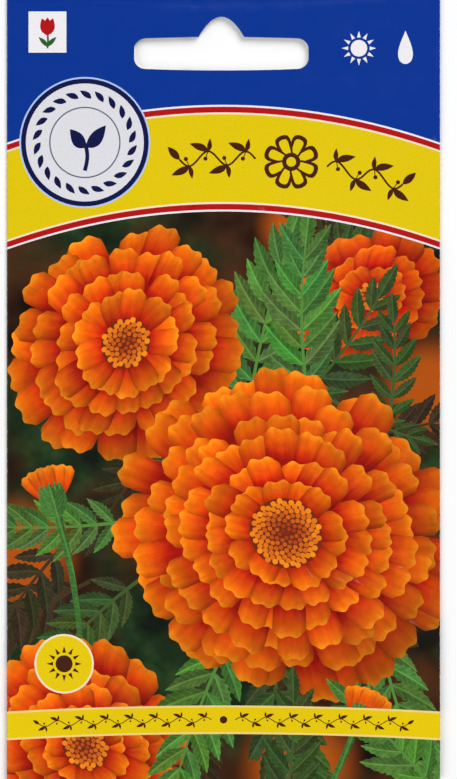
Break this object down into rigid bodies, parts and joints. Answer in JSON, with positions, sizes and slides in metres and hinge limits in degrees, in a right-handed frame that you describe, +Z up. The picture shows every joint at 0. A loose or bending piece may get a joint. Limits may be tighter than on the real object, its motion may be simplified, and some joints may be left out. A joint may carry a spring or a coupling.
{
  "type": "seed packet",
  "caption": "Flat seed packet folded from printed paper, with a hang slot punched through its header, a glued lap down its back and loose seeds inside.",
  "frame": {"origin": "centre of the packet's outline, on the surface that its back lies on", "axes": "+X across the packet to the right as its front is read, +Y along it towards the header, +Z up out of the printed front"},
  "size_m": [0.08, 0.145, 0.0034],
  "materials": {
    "printed_paper": "coated paper, glossy printed front, matt white back",
    "dried_glue": "thin dried glue film",
    "seed_coat": "dull dry seed coat with a straw-coloured tuft"
  },
  "bodies": {
    "root": {"wrapper": "printed_paper", "lap_seam_glue": "dried_glue", "bottom_flap_glue": "dried_glue", "pouch_seal_glue": "dried_glue", "seed_01": "seed_coat", "seed_02": "seed_coat", "seed_03": "seed_coat", "seed_04": "seed_coat", "seed_05": "seed_coat", "seed_06": "seed_coat", "seed_07": "seed_coat", "seed_08": "seed_coat", "seed_09": "seed_coat", "seed_10": "seed_coat", "seed_11": "seed_coat", "seed_12": "seed_coat"}
  },
  "joints": []
}
